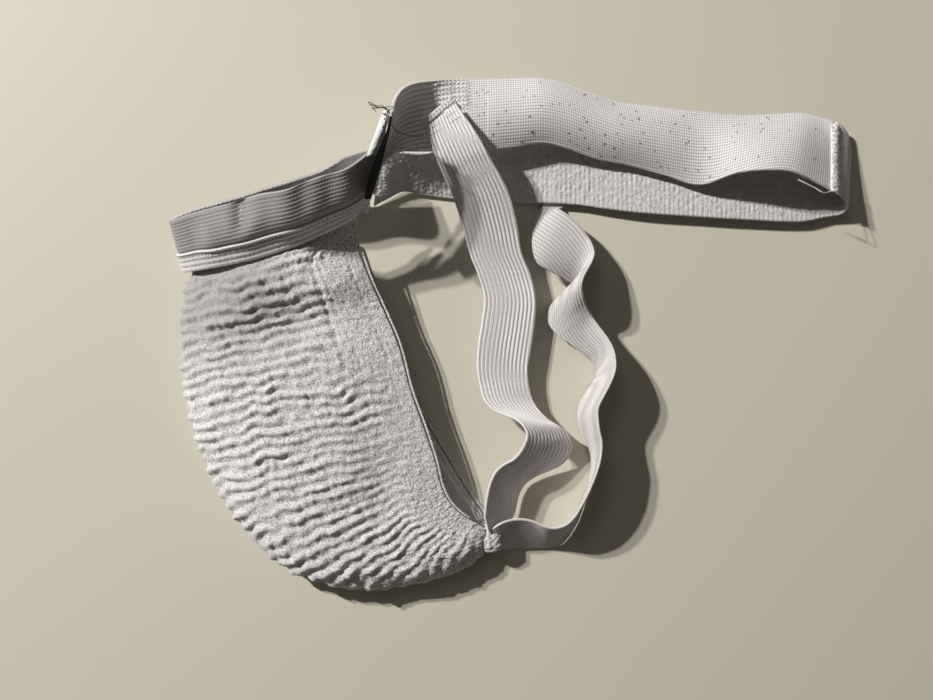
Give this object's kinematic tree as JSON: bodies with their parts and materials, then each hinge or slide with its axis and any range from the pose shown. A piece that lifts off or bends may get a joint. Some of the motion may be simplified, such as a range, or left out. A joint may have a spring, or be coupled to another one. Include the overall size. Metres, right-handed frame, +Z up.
{
  "type": "groin protector",
  "caption": "Elastic supporter with a gathered terry pouch for a hard cup, a wide waistband and two ribbed leg straps, lying folded on its side.",
  "frame": {"origin": "on the table plane under the middle of the pouch, on the outer face of its far side", "axes": "+Z up from the table the object lies on, +X from the centre front to the centre back of the waistband, +Y from the crotch tip to the waistband"},
  "size_m": [0.3294, 0.2459, 0.0599],
  "materials": {
    "waistband_elastic": "woven elastic, lengthwise ribs",
    "waistband_back_elastic": "woven elastic, fine grid outside, plush inside",
    "ribbed_strap_elastic": "ribbed elastic",
    "terry_knit": "gathered terry knit",
    "pocket_mesh": "knitted mesh",
    "label_black": "woven label",
    "seam_tape": "folded seam allowance",
    "hem_elastic": "folded and stitched",
    "black_thread": "thread",
    "white_thread": "thread",
    "cup_plastic": "moulded",
    "rim_rubber": "soft"
  },
  "bodies": {
    "supporter": {"pouch_front_panel": "terry_knit", "cup_pocket_panel": "pocket_mesh", "near_leg_binding": "hem_elastic", "far_leg_binding": "hem_elastic", "waistband_front": "waistband_elastic", "waistband_near_hip": "waistband_elastic", "waistband_far_hip": "waistband_elastic", "hip_lap_patch": "hem_elastic", "near_side_seam_tape": "seam_tape", "far_side_seam_tape": "seam_tape", "near_strap_hem": "hem_elastic", "far_strap_hem": "hem_elastic", "crotch_bartack": "hem_elastic", "black_thread_tuft": "black_thread"},
    "waistband_back": {"waistband_back_near": "waistband_back_elastic", "waistband_back_far": "waistband_back_elastic", "centre_back_seam": "hem_elastic", "back_seam_thread_end": "white_thread"},
    "near_strap": {"near_leg_strap": "ribbed_strap_elastic"},
    "far_strap": {"far_leg_strap": "ribbed_strap_elastic"},
    "label": {"side_label": "label_black", "label_thread_end": "black_thread"},
    "cup": {"cup_shell": "cup_plastic", "cup_rim_cushion": "rim_rubber"}
  },
  "joints": [
    {"name": "waistband_lift", "type": "hinge", "parent": "supporter", "child": "waistband_back", "pos_m": [0.0925, 0.14, 0.016], "axis": [0, -1, 0], "range_deg": [0, 18]},
    {"name": "near_strap_swing", "type": "hinge", "parent": "supporter", "child": "near_strap", "pos_m": [0.06332, 0.1429, 0.0282], "axis": [0.1463, -0.988, -0.0488], "range_deg": [0, 25]},
    {"name": "far_strap_swing", "type": "hinge", "parent": "supporter", "child": "far_strap", "pos_m": [0.09842, -0.05158, 0.002], "axis": [-0.1716, -0.9852, 0], "range_deg": [0, 6]},
    {"name": "label_flap", "type": "hinge", "parent": "supporter", "child": "label", "pos_m": [0.04822, 0.14174, 0.049], "axis": [-0.2667, -0.9044, -0.333], "range_deg": [-15, 0]},
    {"name": "cup_shift", "type": "slide", "parent": "supporter", "child": "cup", "axis": [-0.3189, 0.9478, 0], "range_m": [0, 0.008]}
  ]
}
